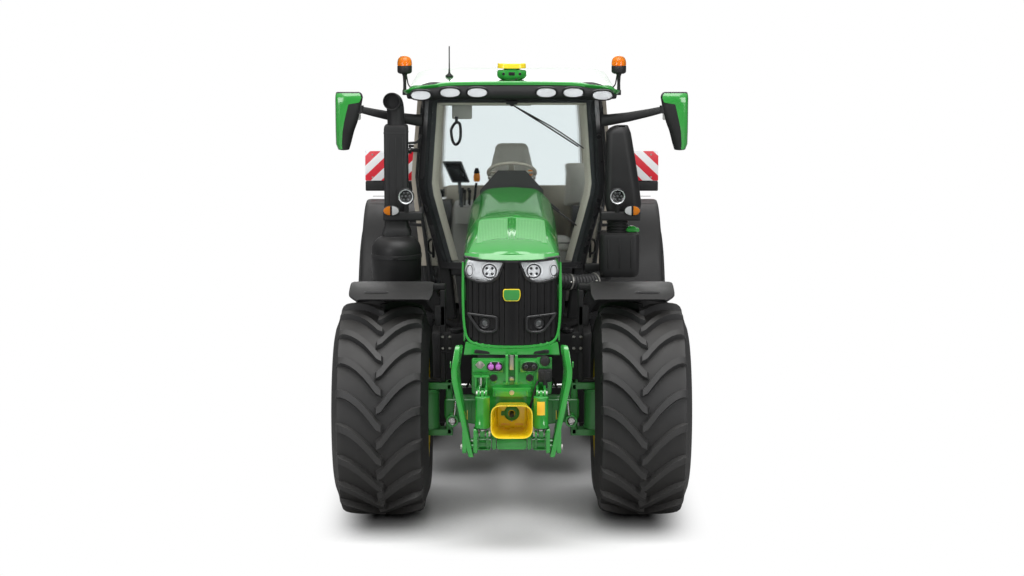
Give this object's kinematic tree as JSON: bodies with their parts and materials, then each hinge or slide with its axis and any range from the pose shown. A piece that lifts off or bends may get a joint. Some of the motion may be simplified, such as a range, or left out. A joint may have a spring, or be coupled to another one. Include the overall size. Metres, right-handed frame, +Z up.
{
  "type": "farm tractor",
  "caption": "Four-wheel-drive farm tractor with a glazed cab, tilting hood, steered front wheels, folded front linkage and rear three-point linkage.",
  "frame": {"origin": "on the ground, in the middle of the bounding box's base", "axes": "+Z up, the tractor faces -Y, +X is the driver's left"},
  "size_m": [2.7, 5.5499, 3.314],
  "materials": {
    "body_green": "gloss",
    "chassis_green": "semi-gloss",
    "black_plastic": "matte",
    "black_metal": "satin",
    "casting": "satin",
    "yellow": "gloss",
    "tyre": "matte",
    "glass": "clear",
    "lamp_glass": "clear",
    "amber": "clear",
    "seat_fabric": "woven",
    "cab_plastic": "matte",
    "board": "gloss",
    "steel": "satin"
  },
  "bodies": {
    "chassis": {"engine": "casting", "driveline": "chassis_green", "front_frame": "chassis_green", "front_axle": "chassis_green", "front_linkage_frame": "body_green", "front_pto_shield": "yellow", "cab_frame": "black_metal", "cab_shell": "black_plastic", "fixed_glass": "glass", "roof_cap": "body_green", "roof_visor": "black_plastic", "work_lamps": "lamp_glass", "amber_lamps": "amber", "lamp_brackets": "black_metal", "receiver": "yellow", "mirrors": "black_plastic", "exhaust": "black_metal", "intake": "black_plastic", "rear_fenders": "black_plastic", "boards": "board", "tanks_and_steps": "black_plastic", "seat_bases": "black_metal", "seat_cushions": "seat_fabric", "consoles": "cab_plastic", "rear_frame": "casting"},
    "track_rod_body": {"track_rod": "steel"},
    "knuckle_left_body": {"knuckle_left": "chassis_green"},
    "knuckle_right_body": {"knuckle_right": "chassis_green"},
    "mudguard_left": {"front_mudguard_left": "black_plastic"},
    "mudguard_right": {"front_mudguard_right": "black_plastic"},
    "front_wheel_left": {"front_tyre_left": "tyre", "front_rim_left": "yellow"},
    "front_wheel_right": {"front_tyre_right": "tyre", "front_rim_right": "yellow"},
    "rear_wheel_left": {"rear_tyre_left": "tyre", "rear_rim_left": "yellow"},
    "rear_wheel_right": {"rear_tyre_right": "tyre", "rear_rim_right": "yellow"},
    "hood_body": {"hood": "body_green", "grille": "black_plastic", "headlamps": "lamp_glass"},
    "front_lift": {"front_lift_rocker": "body_green"},
    "front_link_pair": {"front_links": "body_green"},
    "front_barrels": {"front_lift_barrels": "body_green"},
    "front_rods": {"front_lift_rods": "steel"},
    "front_pto": {"front_pto_shaft": "steel"},
    "door_left_body": {"door_left": "black_metal", "door_glass_left": "glass"},
    "door_right_body": {"door_right": "black_metal", "door_glass_right": "glass"},
    "rear_window": {"rear_window_frame": "black_metal", "rear_window_glass": "glass"},
    "steering_wheel_body": {"steering_wheel": "black_plastic"},
    "lower_link_pair": {"lower_links": "casting"},
    "lift_arm_pair": {"lift_arms": "casting"},
    "lift_rod_pair": {"lift_rods": "steel"},
    "top_link_body": {"top_link": "steel"},
    "rear_pto": {"rear_pto_shaft": "steel"}
  },
  "joints": [
    {"name": "steer_left", "type": "hinge", "parent": "chassis", "child": "knuckle_left_body", "pos_m": [0.62, -1.355, 0.78], "axis": [0, 0, 1], "range_deg": [-35, 35]},
    {"name": "steer_right", "type": "hinge", "parent": "chassis", "child": "knuckle_right_body", "pos_m": [-0.62, -1.355, 0.78], "axis": [0, 0, 1], "range_deg": [-36, 36]},
    {"name": "track_rod_slide", "type": "slide", "parent": "chassis", "child": "track_rod_body", "axis": [1, 0, 0], "range_m": [-0.12, 0.12]},
    {"name": "mudguard_left_turn", "type": "hinge", "parent": "knuckle_left_body", "child": "mudguard_left", "pos_m": [0.62, -1.355, 0.99], "axis": [0, 0, 1], "range_deg": [-18, 18]},
    {"name": "mudguard_right_turn", "type": "hinge", "parent": "knuckle_right_body", "child": "mudguard_right", "pos_m": [-0.62, -1.355, 0.99], "axis": [0, 0, 1], "range_deg": [-18, 18]},
    {"name": "front_wheel_left_spin", "type": "hinge", "parent": "knuckle_left_body", "child": "front_wheel_left", "pos_m": [0.947, -1.355, 0.78], "axis": [1, 0, 0], "continuous": true},
    {"name": "front_wheel_right_spin", "type": "hinge", "parent": "knuckle_right_body", "child": "front_wheel_right", "pos_m": [-0.947, -1.355, 0.78], "axis": [1, 0, 0], "continuous": true},
    {"name": "rear_wheel_left_spin", "type": "hinge", "parent": "chassis", "child": "rear_wheel_left", "pos_m": [0.899, 1.545, 0.958], "axis": [1, 0, 0], "continuous": true},
    {"name": "rear_wheel_right_spin", "type": "hinge", "parent": "chassis", "child": "rear_wheel_right", "pos_m": [-0.899, 1.545, 0.958], "axis": [1, 0, 0], "continuous": true},
    {"name": "hood_tilt", "type": "hinge", "parent": "chassis", "child": "hood_body", "pos_m": [0, -0.245, 2.24], "axis": [-1, 0, 0], "range_deg": [0, 50]},
    {"name": "front_lift_turn", "type": "hinge", "parent": "chassis", "child": "front_lift", "pos_m": [0, -2.365, 0.735], "axis": [1, 0, 0], "range_deg": [0, 30]},
    {"name": "front_link_fold", "type": "hinge", "parent": "front_lift", "child": "front_link_pair", "pos_m": [0, -2.535, 0.745], "axis": [1, 0, 0], "range_deg": [0, 85]},
    {"name": "front_barrel_turn", "type": "hinge", "parent": "chassis", "child": "front_barrels", "pos_m": [0, -2.55, 1.119], "axis": [1, 0, 0], "range_deg": [-6, 1]},
    {"name": "front_rod_slide", "type": "slide", "parent": "front_barrels", "child": "front_rods", "axis": [0, 0, -1], "range_m": [0, 0.11]},
    {"name": "front_pto_spin", "type": "hinge", "parent": "chassis", "child": "front_pto", "pos_m": [0, -2.455, 0.953], "axis": [0, 1, 0], "continuous": true},
    {"name": "door_left_turn", "type": "hinge", "parent": "chassis", "child": "door_left_body", "pos_m": [0.815, 0.66, 2], "axis": [0, 0, 1], "range_deg": [0, 78]},
    {"name": "door_right_turn", "type": "hinge", "parent": "chassis", "child": "door_right_body", "pos_m": [-0.815, 0.66, 2], "axis": [0, 0, -1], "range_deg": [0, 78]},
    {"name": "rear_window_turn", "type": "hinge", "parent": "chassis", "child": "rear_window", "pos_m": [0, 1.77, 2.926], "axis": [1, 0, 0], "range_deg": [0, 40]},
    {"name": "steering_wheel_spin", "type": "hinge", "parent": "chassis", "child": "steering_wheel_body", "pos_m": [0, 0.375, 2.325], "axis": [0, 0.5, 0.866], "continuous": true},
    {"name": "lower_links_lift", "type": "hinge", "parent": "chassis", "child": "lower_link_pair", "pos_m": [0, 1.795, 0.64], "axis": [1, 0, 0], "range_deg": [-18, 30]},
    {"name": "lift_arms_turn", "type": "hinge", "parent": "chassis", "child": "lift_arm_pair", "pos_m": [0, 1.845, 1.155], "axis": [1, 0, 0], "range_deg": [-20, 33]},
    {"name": "lift_rods_turn", "type": "hinge", "parent": "lift_arm_pair", "child": "lift_rod_pair", "pos_m": [0, 2.265, 1.16], "axis": [1, 0, 0], "range_deg": [-33, 20]},
    {"name": "top_link_turn", "type": "hinge", "parent": "chassis", "child": "top_link_body", "pos_m": [0, 2.02, 0.935], "axis": [1, 0, 0], "range_deg": [-70, 6]},
    {"name": "rear_pto_spin", "type": "hinge", "parent": "chassis", "child": "rear_pto", "pos_m": [0, 2.025, 0.72], "axis": [0, 1, 0], "continuous": true}
  ],
  "couplings": [
    {"joint": "steer_right", "follows": "steer_left", "ratio": 1},
    {"joint": "track_rod_slide", "follows": "steer_left", "m_per_rad": -0.188},
    {"joint": "mudguard_left_turn", "follows": "steer_left", "ratio": -0.5},
    {"joint": "mudguard_right_turn", "follows": "steer_left", "ratio": -0.5},
    {"joint": "front_barrel_turn", "follows": "front_lift_turn", "ratio": -0.16},
    {"joint": "front_rod_slide", "follows": "front_lift_turn", "m_per_rad": 0.2042},
    {"joint": "lift_arms_turn", "follows": "lower_links_lift", "ratio": 1.071},
    {"joint": "lift_rods_turn", "follows": "lower_links_lift", "ratio": -1.071}
  ]
}
